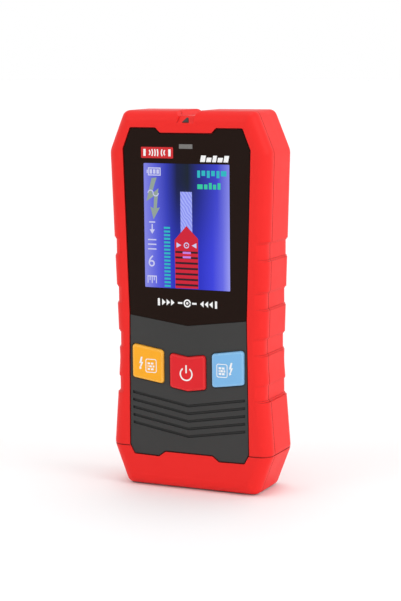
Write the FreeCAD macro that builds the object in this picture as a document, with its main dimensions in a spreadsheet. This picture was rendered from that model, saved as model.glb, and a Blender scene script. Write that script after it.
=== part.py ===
import FreeCAD, Part
import math
import os

import Sketcher

# A hand-held wall scanner (stud finder), 147 x 67.7 x 27 mm.
# X is to the right seen from the front, the front faces -Y, Z is up.
# The origin is the middle of the footprint on the flat bottom end.

Vector = FreeCAD.Vector
document = FreeCAD.newDocument("wall_scanner")
sheet = document.addObject("Spreadsheet::Sheet", "dims")
subparts = []


class Dim:
    # a length in mm together with the spreadsheet expression that gives it
    def __init__(self, value, text):
        self.value = value
        self.text = text

    def __neg__(self):
        return Dim(-self.value, "-(%s)" % self.text)

    def __add__(self, other):
        other = length(other)
        return Dim(self.value + other.value, "(%s + %s)" % (self.text, other.text))

    def __sub__(self, other):
        other = length(other)
        return Dim(self.value - other.value, "(%s - %s)" % (self.text, other.text))

    def __mul__(self, factor):
        return Dim(self.value * factor, "%s * (%.5f)" % (self.text, factor))

    def __truediv__(self, divisor):
        return Dim(self.value / divisor, "%s / (%.5f)" % (self.text, divisor))

    def __rsub__(self, other):
        return length(other) - self

    __radd__ = __add__


def length(value):
    if isinstance(value, Dim):
        return value
    return Dim(float(value), "(%.5f)" % value)


def dim(name, mm):
    # one driving dimension: a named cell of the spreadsheet
    row = len(sheet.getUsedCells()) // 2 + 1
    sheet.set("A%d" % row, name)
    sheet.set("B%d" % row, str(mm))
    sheet.setAlias("B%d" % row, name)
    return Dim(mm, "dims." + name)


# driving dimensions

height = dim("case_height", 147)
bottomHalf = dim("bottom_half_width", 27.7)
seamHalf = dim("seam_half_width", 33.85)
seamHeight = dim("seam_height", 15.9)
waistHalf = dim("waist_half_width", 31.15)
waistHeight = dim("waist_height", 50)
shoulderHalf = dim("shoulder_half_width", 33.9)
shoulderHeight = dim("shoulder_height", 131.6)
topHalf = dim("top_half_width", 27.5)
cornerRadius = dim("corner_radius", 3)
seamRadius = dim("seam_bend_radius", 6.5)
shoulderRadius = dim("shoulder_bend_radius", 6)
waistRadius = dim("waist_bend_radius", 40)
edgeRadius = dim("edge_radius", 5)

frontFace = dim("front_face", -13)
backFace = dim("back_face", 13)
keyFace = dim("key_face", -13.5)
padFace = dim("pad_face", 13.5)
panelFace = dim("panel_face", -12.7)
panelBack = dim("panel_back", -11.5)
recessFloor = dim("recess_floor", -11.3)
frontWallBack = dim("front_wall_back", -9.9)
frontRim = dim("front_shell_rim", -7.05)
rearRim = dim("rear_shell_rim", -6.75)
wall = dim("side_wall", 2.2)
backWall = dim("back_wall", 2)
lipInset = dim("lip_inset", 1.25)
lipHeight = dim("lip_height", 1.2)
fitGap = dim("fit_gap", 0.1)
bandDepth = dim("grip_band_depth", 0.75)
bandStep = dim("grip_band_step", 0.6)
seamDepth = dim("seam_groove_depth", 0.45)

screenHalf = dim("screen_half_width", 17.95)
screenTop = dim("screen_top", 127)
screenBottom = dim("screen_bottom", 79.15)
chevronSide = dim("chevron_side", 67.97)
panelRadius = dim("panel_corner_radius", 0.8)
panelGap = dim("panel_gap", 0.4)
chevronMiddle = dim("chevron_middle", 64.82)
keyGap = dim("key_gap", 0.3)
keyFlange = dim("key_flange", 0.5)
keyRadius = dim("key_corner_radius", 1.2)
keyEdge = dim("key_edge_radius", 0.7)
ribPitch = dim("rib_pitch", 3.02)
ribWidth = dim("rib_width", 1.1)
ribDepth = dim("rib_depth", 0.5)

boardFront = dim("board_front", -6.9)
boardBack = dim("board_back", -5.3)
sensorFront = dim("sensor_board_front", 9)
sensorBack = dim("sensor_board_back", 10.2)
screwTopX = dim("top_screw_x", 22.5)
screwTopZ = dim("top_screw_z", 137.3)
screwLowX = dim("low_screw_x", 21)
screwLowZ = dim("low_screw_z", 6.3)
screwSeat = dim("screw_seat", -2)
bossMeet = dim("boss_meeting_face", -4)

bayHalf = dim("battery_bay_half_width", 27.9)
bayBottom = dim("battery_bay_bottom", 10.5)
bayTop = dim("battery_bay_top", 38)
bayFloor = dim("battery_bay_floor", -7.1)
doorHalf = dim("door_opening_half_width", 26)
doorThick = dim("door_thickness", 1.6)
doorGap = dim("door_gap", 0.15)
document.recompute()


# drawing helpers

def plane_of(body, role):
    return next(item for item in body.Origin.OriginFeatures if item.Role == role)


def draw_loop(sketch, points):
    # a closed outline of straight lines
    held = []
    places = [(length(x), length(y)) for x, y in points]
    first = sketch.GeometryCount
    count = len(places)
    for number in range(count):
        start = places[number]
        end = places[(number + 1) % count]
        p = Vector(start[0].value, start[1].value, 0)
        q = Vector(end[0].value, end[1].value, 0)
        index = sketch.addGeometry(Part.LineSegment(p, q), False)
        held.append(("DistanceX", index, 1, start[0]))
        held.append(("DistanceY", index, 1, start[1]))
    for number in range(count):
        after = first + (number + 1) % count
        sketch.addConstraint(Sketcher.Constraint("Coincident", first + number, 2, after, 1))
    hold(sketch, held)


def hold(sketch, held):
    # dimension each point from the sketch origin and bind it to the spreadsheet
    for kind, index, vertex, place in held:
        number = sketch.addConstraint(Sketcher.Constraint(kind, -1, 1, index, vertex, place.value))
        name = "%s%d" % (kind[-1].lower(), number)
        sketch.renameConstraint(number, name)
        sketch.setExpression("Constraints." + name, place.text)


def draw_circle(sketch, x, y, diameter):
    x, y, radius = length(x), length(y), length(diameter) / 2
    circle = Part.Circle(Vector(x.value, y.value, 0), Vector(0, 0, 1), radius.value)
    index = sketch.addGeometry(circle, False)
    hold(sketch, [("DistanceX", index, 3, x), ("DistanceY", index, 3, y)])
    number = sketch.addConstraint(Sketcher.Constraint("Radius", index, radius.value))
    name = "r%d" % number
    sketch.renameConstraint(number, name)
    sketch.setExpression("Constraints." + name, radius.text)


def draw(owner, name, loops, place, role="XZ_Plane"):
    # a sketch on one of the origin planes, moved along the plane's normal to place
    if owner is None:
        sketch = document.addObject("Sketcher::SketchObject", name)
        sketch.Placement = FreeCAD.Placement(Vector(0, 0, 0), FreeCAD.Rotation(Vector(1, 0, 0), 90))
        sketch.setExpression(".Placement.Base.y", length(place).text)
    else:
        sketch = owner.newObject("Sketcher::SketchObject", name)
        sketch.AttachmentSupport = [(plane_of(owner, role), "")]
        sketch.MapMode = "FlatFace"
        offset = -length(place) if role == "XZ_Plane" else length(place)
        sketch.setExpression(".AttachmentOffset.Base.z", offset.text)
    for loop in loops:
        if loop[0] == "circle":
            draw_circle(sketch, *loop[1:])
        else:
            draw_loop(sketch, loop)
    return sketch


def add(body, name, loops, front, back):
    # material from the front face to the back face
    sketch = draw(body, name + "_outline", loops, back)
    pad = body.newObject("PartDesign::Pad", name)
    pad.Profile = sketch
    pad.setExpression("Length", (length(back) - front).text)
    sketch.Visibility = False
    document.recompute()
    return pad


def cut(body, name, loops, front, back):
    # a pocket from the front face to the back face
    sketch = draw(body, name + "_outline", loops, front)
    before = body.Shape.Volume
    pocket = body.newObject("PartDesign::Pocket", name)
    pocket.Profile = sketch
    pocket.setExpression("Length", (length(back) - front).text)
    sketch.Visibility = False
    document.recompute()
    if body.Shape.Volume >= before - 1e-4:
        raise RuntimeError("nothing removed by " + body.Name + " " + name)
    return pocket


def cut_across(body, name, loop, half):
    # a pocket drawn in the side view and running from -half to +half across X
    sketch = draw(body, name + "_outline", [loop], 0, role="YZ_Plane")
    before = body.Shape.Volume
    pocket = body.newObject("PartDesign::Pocket", name)
    pocket.Profile = sketch
    pocket.Midplane = True
    pocket.setExpression("Length", (length(half) + half).text)
    document.recompute()
    if body.Shape.Volume >= before - 1e-4:
        raise RuntimeError("nothing removed by " + body.Name + " " + name)
    return pocket


def edge_names(feature, wanted):
    return ["Edge%d" % (i + 1) for i, edge in enumerate(feature.Shape.Edges) if wanted(edge)]


def along_y(x, z, reach=0.6):
    # picks the edge that runs front to back through (x, z)
    def wanted(edge):
        if len(edge.Vertexes) != 2:
            return False
        a, b = edge.Vertexes[0].Point, edge.Vertexes[1].Point
        straight = abs(a.x - b.x) < 1e-4 and abs(a.z - b.z) < 1e-4
        return straight and math.hypot(a.x - x, a.z - z) < reach
    return wanted


def in_face(y):
    # picks the edges that lie in the plane at y
    def wanted(edge):
        box = edge.BoundBox
        return abs(box.YMin - y) < 1e-4 and abs(box.YMax - y) < 1e-4
    return wanted


def soften(body, name, wanted, radius):
    # a fillet on the wanted edges of the body as it stands
    base = body.Tip
    picked = edge_names(base, wanted)
    if not picked:
        raise RuntimeError("no edge for " + name)
    fillet = body.newObject("PartDesign::Fillet", name)
    fillet.Base = (base, picked)
    fillet.setExpression("Radius", length(radius).text)
    document.recompute()
    return fillet


def round_corners(body, name, corners, radius):
    tests = [along_y(length(x).value, length(z).value) for x, z in corners]
    return soften(body, name, lambda edge: any(test(edge) for test in tests), radius)


def new_body(name):
    body = document.addObject("PartDesign::Body", name)
    body.Label = name
    subparts.append(body)
    return body


def plate(name, loops, front, back):
    # a flat piece lying between two depths
    body = new_body(name)
    add(body, "sheet", loops, front, back)
    return body


def stand(item, x, y, z, upright=False):
    # place a primitive, bound to the spreadsheet; upright turns a cylinder front to back
    turn = FreeCAD.Rotation(Vector(1, 0, 0), 90) if upright else FreeCAD.Rotation()
    item.Placement = FreeCAD.Placement(Vector(0, 0, 0), turn)
    for axis, value in (("x", x), ("y", y), ("z", z)):
        item.setExpression(".Placement.Base." + axis, length(value).text)


def cylinder(x, z, diameter, front, back):
    item = document.addObject("Part::Cylinder", "round")
    item.setExpression("Radius", (length(diameter) / 2).text)
    item.setExpression("Height", (length(back) - front).text)
    stand(item, x, back, z, upright=True)
    return item


def prism(loop, front, back):
    # a rectangle drawn in the front view, standing between two depths
    (x0, z0), (x1, z1) = loop[0], loop[2]
    item = document.addObject("Part::Box", "block")
    item.setExpression("Length", (length(x1) - x0).text)
    item.setExpression("Width", (length(back) - front).text)
    item.setExpression("Height", (length(z1) - z0).text)
    stand(item, x0, front, z0)
    return item


def gather(name, pieces):
    # several like pieces in one node, each its own solid
    together = document.addObject("Part::Compound", name)
    together.Links = pieces
    document.recompute()
    together.Label = name
    subparts.append(together)
    return together


def group(name, loops, front, back):
    pieces = []
    for loop in loops:
        if loop[0] == "circle":
            pieces.append(cylinder(*loop[1:], front, back))
        else:
            pieces.append(prism(loop, front, back))
    return gather(name, pieces)


def joined(kind, base, tool):
    result = document.addObject("Part::" + kind, "joined")
    result.Base = base
    result.Tool = tool
    return result


def screw_set(name, places, head, shank, seat):
    # pan-head screws: head and shank are (diameter, signed length) measured from the seat
    screws = []
    for x, z in places:
        parts = []
        for diameter, reach in (head, shank):
            front = seat if reach > 0 else length(seat) + reach
            back = length(seat) + reach if reach > 0 else seat
            parts.append(cylinder(x, z, diameter, front, back))
        screws.append(joined("Fuse", *parts))
    return gather(name, screws)


def rectangle(x0, x1, z0, z1):
    return [(x0, z0), (x1, z0), (x1, z1), (x0, z1)]


def block(x, z, wide, tall):
    return rectangle(length(x) - wide / 2, length(x) + wide / 2, length(z) - tall / 2, length(z) + tall / 2)


def disc(x, z, diameter):
    return ("circle", x, z, diameter)


def both_sides(right):
    # the right half of an outline, bottom to top, joined to its mirror image
    return list(right) + [(-length(x), z) for x, z in reversed(right)]


# outlines

def case_outline():
    right = [(bottomHalf, 0), (seamHalf, seamHeight), (waistHalf, waistHeight),
             (shoulderHalf, shoulderHeight), (topHalf, height)]
    return both_sides(right)


def half_width(z):
    # half the width of the case's flank at height z, between the seam and the shoulder
    if z > waistHeight.value:
        share = (z - waistHeight.value) / (shoulderHeight.value - waistHeight.value)
        return waistHalf + (shoulderHalf - waistHalf) * share
    share = (waistHeight.value - z) / (waistHeight.value - seamHeight.value)
    return waistHalf + (seamHalf - waistHalf) * share


def inset(points, amount):
    # the outline moved inwards by amount, each corner along its own bisector
    flat = [Vector(length(x).value, length(z).value, 0) for x, z in points]
    moved = []
    for number, (x, z) in enumerate(points):
        before = flat[number] - flat[number - 1]
        after = flat[(number + 1) % len(flat)] - flat[number]
        n0 = Vector(-before.y, before.x, 0).normalize()
        n1 = Vector(-after.y, after.x, 0).normalize()
        shift = (n0 + n1) * (1 / (1 + n0.dot(n1)))
        moved.append((length(x) + length(amount) * shift.x, length(z) + length(amount) * shift.y))
    return moved


def recess_outline():
    # the edge of the sunk front panel: notched in the middle at the top and bottom
    right = [(10.05, 14.52), (12.79, 12.45), (23.58, 12.66), (25.57, 16.37), (24.93, chevronSide),
             (26.83, 132.51), (23.56, 140.66), (12.67, 140.66), (10.73, 138.72)]
    return both_sides(right)


def lens_outline():
    full = inset(recess_outline(), panelGap)
    right = full[4:9]
    right[0] = (right[0][0], chevronSide + 0.1)
    left = [(-x, z) for x, z in reversed(right)]
    return right + left + [(0, chevronMiddle + 0.1)]


def panel_outline():
    full = inset(recess_outline(), panelGap)
    right = full[0:5]
    left = [(-x, z) for x, z in reversed(right)]
    return right + [(0, chevronMiddle)] + left


def key_outline(which):
    if which == "power":
        return [(-7.54, 40.55), (0, 39.4), (7.54, 40.55), (7.54, 53.93), (0, 52.75), (-7.54, 53.93)]
    right = [(10.3, 41.6), (23.64, 43.5), (23.64, 56.75), (10.3, 54.7)]
    if which == "right":
        return right
    return [(-x, z) for x, z in reversed(right)]


keyMiddles = {"left": (-17, 49.1), "power": (0, 46.6), "right": (17, 49.1)}
boardScrews = [(25.2, 65), (-25.2, 65), (25.2, 126), (-25.2, 126)]
sensorScrews = [(20.5, 58), (-20.5, 58), (20.5, 129), (-20.5, 129)]
caseScrews = [(screwTopX, screwTopZ), (-screwTopX, screwTopZ),
              (screwLowX, screwLowZ), (-screwLowX, screwLowZ)]
gripBands = [(37.3, 43.2), (55.0, 60.9), (72.5, 78.6), (91.3, 97.4)]


# the two half shells

def round_through(body, name, corner, radius, reach):
    # rounds a corner of the outline all along its depth, over the rounded outer edge too
    x, z = (length(value).value for value in corner)

    def wanted(edge):
        box = edge.BoundBox
        near = abs(abs(box.Center.x) - x) < reach and abs(box.Center.z - z) < reach
        return near and box.YLength > 0.1
    soften(body, name, wanted, radius)


def rounded_half(body, front, back, rounded):
    # a solid half of the case with its outer edge rounded at the face named by rounded
    outline = case_outline()
    add(body, "form", [outline], front, back)
    round_corners(body, "seam_bends", [outline[1], outline[8]], seamRadius)
    round_corners(body, "shoulder_bends", [outline[3], outline[6]], shoulderRadius)
    round_corners(body, "waist_bends", [outline[2], outline[7]], waistRadius)
    soften(body, "outer_edge", in_face(length(rounded).value), edgeRadius)
    round_through(body, "top_corners", outline[4], cornerRadius, 5.5)
    round_through(body, "low_corners", outline[0], cornerRadius, 5.5)


def ring_cut(body, name, half, front, back, radius, top, tall):
    # below top, cuts off what stands outside a rounded rectangle in plan
    sketch = body.newObject("Sketcher::SketchObject", name + "_outline")
    sketch.AttachmentSupport = [(plane_of(body, "XY_Plane"), "")]
    sketch.MapMode = "FlatFace"
    sketch.setExpression(".AttachmentOffset.Base.z", length(top).text)
    draw_loop(sketch, rectangle(-40, 40, -20, 20))
    x, r = half.value, radius.value
    ends = []
    for cx, cy, sx, sy in ((x, front.value, 1, 1), (x, back.value, 1, -1),
                           (-x, back.value, -1, -1), (-x, front.value, -1, 1)):
        centre = Vector(cx - sx * r, cy + sy * r, 0)
        side = Vector(cx, cy + sy * r, 0)
        face = Vector(cx - sx * r, cy, 0)
        middle = centre + Vector(sx, -sy, 0).normalize() * r
        start, end = (face, side) if sx * sy > 0 else (side, face)
        ends.append((start, end))
        sketch.addGeometry(Part.Arc(start, middle, end), False)
    for number in range(4):
        line = Part.LineSegment(ends[number][1], ends[(number + 1) % 4][0])
        sketch.addGeometry(line, False)
    for number in range(4):
        after = 4 + (number + 1) % 4
        sketch.addConstraint(Sketcher.Constraint("Tangent", 4 + number, 2, 8 + number, 1))
        sketch.addConstraint(Sketcher.Constraint("Tangent", 8 + number, 2, after, 1))
    hold(sketch, [("DistanceX", 8, 1, half), ("DistanceX", 10, 1, -half),
                  ("DistanceY", 9, 1, back), ("DistanceY", 11, 1, front)])
    for number in range(4):
        index = sketch.addConstraint(Sketcher.Constraint("Radius", 4 + number, r))
        sketch.renameConstraint(index, "bend%d" % number)
        sketch.setExpression("Constraints.bend%d" % number, radius.text)
    before = body.Shape.Volume
    pocket = body.newObject("PartDesign::Pocket", name)
    pocket.Profile = sketch
    pocket.setExpression("Length", length(tall).text)
    document.recompute()
    if body.Shape.Volume >= before:
        raise RuntimeError("nothing removed by " + body.Name + " " + name)


def grip_bands(body):
    # four shallow notches down each flank, in two steps at their ends
    beyond = 0.3
    front, back, radius = frontFace - beyond, backFace + beyond, edgeRadius + beyond
    for number, (low, high) in enumerate(gripBands):
        middle = half_width((low + high) / 2)
        tall = length(high - low)
        ring_cut(body, "grip_band_%d" % number, middle - bandDepth, front, back, radius, high, tall)
        ring_cut(body, "grip_band_ends_%d" % number, middle - bandDepth / 2, front, back, radius,
                 high + bandStep, tall + bandStep + bandStep)


def seam_groove(body):
    # the fine line round the case just above its lower corners
    ring_cut(body, "seam_groove", seamHalf - seamDepth, frontFace + seamDepth,
             backFace - seamDepth, edgeRadius - seamDepth, seamHeight + 0.2, 0.4)


def top_groove(body, front, back):
    # the marking groove across the middle of the top end
    trapezium = [(-3.5, height - 2), (3.5, height - 2), (4.9, height + 0.2), (-4.9, height + 0.2)]
    cut(body, "top_groove", [trapezium], front, back)


def front_shell():
    body = new_body("front_shell")
    outline = case_outline()
    rounded_half(body, frontFace, frontRim, frontFace)
    cut(body, "panel_recess", [recess_outline()], frontFace, recessFloor)
    round_corners(body, "recess_corners", recess_outline(), panelRadius)
    cut(body, "hollow", [inset(outline, wall)], frontWallBack, frontRim)
    cut(body, "lip_rebate", [inset(outline, lipInset - fitGap)],
        rearRim - lipHeight - fitGap, frontRim)
    window = rectangle(-21.6, 21.6, 69.9, 130.6)
    lamp = block(0, 133.55, 6, 2.2)
    openings = [inset(key_outline(which), -keyFlange - 0.25) for which in ("left", "power", "right")]
    cut(body, "openings", [window, lamp] + openings, recessFloor, frontWallBack)
    add(body, "groove_backing", [rectangle(-6.5, 6.5, 142.6, height - wall + 0.1)], frontWallBack, frontRim)
    add(body, "case_bosses", [disc(x, z, 6) for x, z in caseScrews], frontWallBack, bossMeet - fitGap)
    add(body, "board_pillars", [disc(x, z, 5) for x, z in boardScrews], frontWallBack, boardFront)
    cut(body, "case_pilots", [disc(x, z, 2.2) for x, z in caseScrews], -10.4, bossMeet)
    cut(body, "board_pilots", [disc(x, z, 1.6) for x, z in boardScrews], -10.4, boardFront)
    top_groove(body, frontFace, frontRim)
    bevel = [(-13.2, 142.05), (-9.5, height - 2), (-9.5, height + 0.2), (-13.2, height + 0.2)]
    cut_across(body, "marker_bevel", bevel, 3.5)
    grip_bands(body)
    seam_groove(body)
    return body


def rear_shell():
    body = new_body("rear_shell")
    outline = case_outline()
    innerBack = backFace - backWall
    rounded_half(body, rearRim, backFace, backFace)
    cut(body, "hollow", [inset(outline, wall)], rearRim, 8.5)
    cut(body, "deep_hollow", [inset(outline, wall + 2)], 8.5, innerBack)
    lip = [inset(outline, lipInset), inset(outline, wall)]
    add(body, "lip", lip, rearRim - lipHeight, rearRim)
    add(body, "case_bosses", [disc(x, z, 7.2) for x, z in caseScrews], bossMeet, innerBack)
    add(body, "bay_walls", [rectangle(-29.8, 29.8, bayBottom - 1.1, bayTop + 1.1)], rearRim, innerBack)
    add(body, "bay_floor", [rectangle(-28.3, 28.3, bayBottom - 1.1, bayTop + 1.1)], bayFloor - 1.2, rearRim)
    cut(body, "bay", [rectangle(-bayHalf, bayHalf, bayBottom, bayTop)], bayFloor, innerBack)
    doorway = rectangle(-doorHalf, doorHalf, bayBottom, bayTop)
    cut(body, "door_opening", [doorway], innerBack - 0.1, backFace)
    slots = [rectangle(13.8, 19.2, 8.9, bayBottom + 0.1), rectangle(-19.2, -13.8, 8.9, bayBottom + 0.1)]
    cut(body, "tab_slots", slots, innerBack - 1.1, innerBack)
    cut(body, "latch_notch", [rectangle(-5.3, 5.3, bayTop - 0.1, bayTop + 0.85)], innerBack, backFace)
    cut(body, "lead_notch", [rectangle(20.6, 25.4, bayTop - 0.1, bayTop + 1.2)], 0.6, 3.4)
    add(body, "groove_backing", [rectangle(-6.5, 6.5, 142.6, height - wall + 0.1)], rearRim, innerBack)
    cut(body, "screw_sinks", [disc(x, z, 5.2) for x, z in caseScrews], screwSeat, backFace)
    cut(body, "screw_holes", [disc(x, z, 2.9) for x, z in caseScrews], bossMeet, screwSeat)
    add(body, "sensor_pillars", [disc(x, z, 5) for x, z in sensorScrews], sensorBack, innerBack)
    cut(body, "sensor_pilots", [disc(x, z, 1.6) for x, z in sensorScrews], sensorBack, 12)
    top_groove(body, rearRim - lipHeight, backFace)
    grip_bands(body)
    seam_groove(body)
    return body


# front panel

def front_panel():
    lens = plate("display_lens", [lens_outline()], panelFace, -11.7)
    cut(lens, "lamp_hole", [block(0, 133.55, 5.8, 1.9)], panelFace, -11.7)
    window = rectangle(-screenHalf, screenHalf, screenBottom, screenTop)
    plate("lens_mask", [lens_outline(), window, block(0, 133.55, 5.8, 1.9)], -11.7, panelBack)
    tape = rectangle(-screenHalf - 1.2, screenHalf + 1.2, screenBottom - 1.2, screenTop + 1.2)
    plate("lens_tape", [inset(lens_outline(), 0.6), tape, block(0, 133.55, 7, 3)], panelBack, recessFloor)
    lamp = plate("status_light_pipe", [block(0, 133.55, 5.6, 1.7)], panelFace, -8.4)
    add(lamp, "shoulder", [block(0, 133.55, 8.2, 3.6)], -9.8, -9.3)
    panel = plate("control_panel", [panel_outline()], panelFace, recessFloor)
    openings = [inset(key_outline(which), -keyGap) for which in ("left", "power", "right")]
    cut(panel, "key_openings", openings, panelFace, recessFloor)
    for which, loop in zip(("left", "power", "right"), openings):
        corners = [loop[i] for i in range(len(loop)) if abs(length(loop[i][0]).value) > 1]
        round_corners(panel, which + "_opening_corners", corners, keyRadius + keyGap)
    ribs = []
    for number in range(5):
        side = 37.47 - ribPitch * number
        middle = 33.51 - ribPitch * number
        ribs.append([(-23.9, side - ribWidth / 2), (0, middle - ribWidth / 2), (23.9, side - ribWidth / 2),
                     (23.9, side + ribWidth / 2), (0, middle + ribWidth / 2), (-23.9, side + ribWidth / 2)])
    cut(panel, "chevron_grooves", ribs, panelFace, panelFace + ribDepth)


def key(which):
    # a key cap with a flange behind the panel and a stem on its switch
    outline = key_outline(which)
    body = new_body(which + "_key")
    add(body, "cap", [outline], keyFace, recessFloor + 0.1)
    corners = [point for point in outline if abs(length(point[0]).value) > 1]
    round_corners(body, "corners", corners, keyRadius)
    soften(body, "top_edge", in_face(keyFace.value), keyEdge)
    add(body, "flange", [inset(outline, -keyFlange)], recessFloor + 0.1, -10.3)
    x, z = keyMiddles[which]
    add(body, "stem", [disc(x, z, 4)], -10.3, -9.8)
    plate(which + "_plunger", [disc(x, z, 3.2)], -9.8, -8.8)


# display

def display():
    # the glass stands in the opening of the front shell, close behind the lens
    plate("lcd_glass", [rectangle(-21.35, 21.35, 70.1, 130.3)], -11.2, -9.8)
    plate("lcd_backlight", [rectangle(-20.6, 20.6, 75.1, 129.8)], -9.8, -7.4)
    frame = [rectangle(-22.3, 22.3, 73.9, 131.1), rectangle(-20.75, 20.75, 75, 129.9)]
    plate("lcd_frame", frame, -9.7, boardFront)
    ribbon = new_body("display_ribbon")
    side = [(-9.8, 73.6), (-9.8, 69.6), (-7.9, 66.4), (-7.9, 62.2),
            (-7.7, 62.2), (-7.7, 66.4), (-9.6, 69.6), (-9.6, 73.6)]
    sketch = draw(ribbon, "side", [side], 0, role="YZ_Plane")
    strip = ribbon.newObject("PartDesign::Pad", "strip")
    strip.Profile = sketch
    strip.Midplane = True
    strip.Length = 16
    document.recompute()
    socket = plate("ribbon_socket", [block(0, 61.5, 19, 3.4)], -8.6, boardFront)
    cut(socket, "slot", [rectangle(-8.3, 8.3, 61.9, 63.3)], -8, -7.6)


# boards

def board_outline(half, low):
    return both_sides([(half, low), (half, 133), (18.2, 133), (18.2, 140.4)])


def main_board():
    holes = [disc(x, z, 2.4) for x, z in boardScrews]
    plate("main_board", [board_outline(27.4, 39.7)] + holes, boardFront, boardBack)
    spots = [keyMiddles[which] for which in ("left", "power", "right")]
    group("switch_bases", [block(x, z, 6, 6) for x, z in spots], -8.1, boardFront)
    housings = []
    for x, z in spots:
        housings.append(joined("Cut", prism(block(x, z, 6, 6), -9.1, -8.1), cylinder(x, z, 3.4, -9.2, -8)))
    gather("switch_housings", housings)
    plate("indicator_led", [block(0, 133.55, 3.4, 2.8)], -8.3, boardFront)
    chip = plate("processor_chip", [block(1, 100, 10, 10)], boardBack + 0.15, boardBack + 1.6)
    cut(chip, "pin_one_dot", [disc(-2.6, 103.6, 1)], boardBack + 1.45, boardBack + 1.6)
    legs = []
    for number in range(12):
        along = -4.4 + 0.8 * number
        for side in (-1, 1):
            legs.append(block(1 + side * 5.6, 100 + along, 1.2, 0.35))
            legs.append(block(1 + along, 100 + side * 5.6, 0.35, 1.2))
    group("processor_legs", legs, boardBack, boardBack + 0.5)
    plate("amplifier_chips", [block(-14, 98, 4, 5)], boardBack + 0.1, boardBack + 1.6)
    group("electrolytic_capacitors", [disc(17, 112, 6.3), disc(17, 104, 6.3), disc(-18, 52, 6.3)],
          boardBack, 0.4)
    small = []
    for x, z in ((8, 88), (4, 88), (0, 88), (-4, 88), (-8, 88), (10, 114), (6, 114), (2, 114), (-2, 114),
                 (-14, 108), (-18, 108), (-22, 98), (-22, 92), (22, 84), (18, 84), (-10, 50), (-6, 50)):
        small.append(block(x, z, 1.25, 2))
    group("chip_resistors", small, boardBack, boardBack + 0.6)
    plate("clock_crystal", [block(12.5, 94, 3.6, 10)], boardBack, boardBack + 3.4)
    regulator = plate("voltage_regulator", [block(12, 52, 6.5, 3.6)], boardBack + 0.1, boardBack + 1.8)
    group("regulator_legs", [block(x, 49.3, 0.8, 1.8) for x in (9.7, 12, 14.3)] + [block(12, 54.7, 3, 1.8)],
          boardBack, boardBack + 0.6)
    buzzer = plate("buzzer", [disc(-15, 78, 12)], boardBack, boardBack + 7.5)
    cut(buzzer, "sound_hole", [disc(-15, 78, 2)], boardBack + 5.5, boardBack + 7.5)
    plate("link_socket", [rectangle(-10.9, 10.9, 62.7, 65.3)], boardBack, 3.2)
    screw_set("board_screws", boardScrews, (3.8, 1.3), (1.5, -4.6), boardBack)


def sensor_board():
    holes = [disc(x, z, 2.4) for x, z in sensorScrews]
    plate("sensor_board", [board_outline(24, 54)] + holes, sensorFront, sensorBack)
    plates = [rectangle(-17, -2, 70, 130), rectangle(2, 17, 70, 130)]
    group("sensing_plates", plates, sensorBack, sensorBack + 0.1)
    bobbin = plate("coil_bobbin", [disc(0, 100, 40), disc(0, 100, 20)], 4, sensorFront)
    cut(bobbin, "winding_space", [disc(0, 100, 50), disc(0, 100, 26)], 4.8, sensorFront - 0.8)
    plate("sensing_coil", [disc(0, 100, 38.6), disc(0, 100, 26.2)], 4.9, sensorFront - 0.9)
    plate("ferrite_core", [disc(0, 100, 19.6)], 4, sensorFront)
    plate("link_header", [rectangle(-10.9, 10.9, 62.7, 65.3)], 6.5, sensorFront)
    screw_set("sensor_screws", sensorScrews, (3.8, -1.3), (1.5, 2.8), sensorFront)
    pins = [block(-8.89 + 2.54 * number, 64, 0.64, 0.64) for number in range(8)]
    group("link_pins", pins, 3.2, 6.5)


# power

def power():
    front, back = length(-6.9), length(10.6)
    battery = plate("battery", [rectangle(-26.6, 19.8, 11.3, 37.8)], front, back)
    soften(battery, "long_edges", lambda edge: edge.BoundBox.XLength > 40, 2.4)
    terminals = new_body("battery_terminals")
    sketch = draw(terminals, "studs", [disc(1.85, 18.3, 6), disc(1.85, 30.8, 8)], 19.8, role="YZ_Plane")
    pad = terminals.newObject("PartDesign::Pad", "studs_pad")
    pad.Profile = sketch
    pad.Length = 2.1
    document.recompute()
    snap = new_body("snap_connector")
    loop = [(-4, 13), (7.7, 13), (7.7, 36.2), (-4, 36.2)]
    sketch = draw(snap, "cover", [loop], 22, role="YZ_Plane")
    pad = snap.newObject("PartDesign::Pad", "cover_pad")
    pad.Profile = sketch
    pad.Length = 3
    document.recompute()
    for colour, x in (("red", 24.1), ("black", 22.4)):
        lead = new_body(colour + "_lead")
        bend = 2.2
        path = lead.newObject("Sketcher::SketchObject", colour + "_path")
        path.AttachmentSupport = [(plane_of(lead, "YZ_Plane"), "")]
        path.MapMode = "FlatFace"
        path.AttachmentOffset = FreeCAD.Placement(Vector(0, 0, x), FreeCAD.Rotation())
        top = 44.5
        path.addGeometry(Part.LineSegment(Vector(2, 36.2, 0), Vector(2, top - bend, 0)), False)
        turn = math.sqrt(0.5) * bend
        path.addGeometry(Part.Arc(Vector(2, top - bend, 0), Vector(2 - bend + turn, top - bend + turn, 0),
                                  Vector(2 - bend, top, 0)), False)
        path.addGeometry(Part.LineSegment(Vector(2 - bend, top, 0), Vector(-5.3, top, 0)), False)
        for number in range(2):
            path.addConstraint(Sketcher.Constraint("Block", number))
        ring = lead.newObject("Sketcher::SketchObject", colour + "_ring")
        ring.AttachmentSupport = [(plane_of(lead, "XY_Plane"), "")]
        ring.MapMode = "FlatFace"
        ring.AttachmentOffset = FreeCAD.Placement(Vector(0, 0, 36.2), FreeCAD.Rotation())
        draw_circle(ring, x, 2, 1.3)
        pipe = lead.newObject("PartDesign::AdditivePipe", colour + "_run")
        pipe.Profile = ring
        pipe.Spine = path
        document.recompute()


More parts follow.
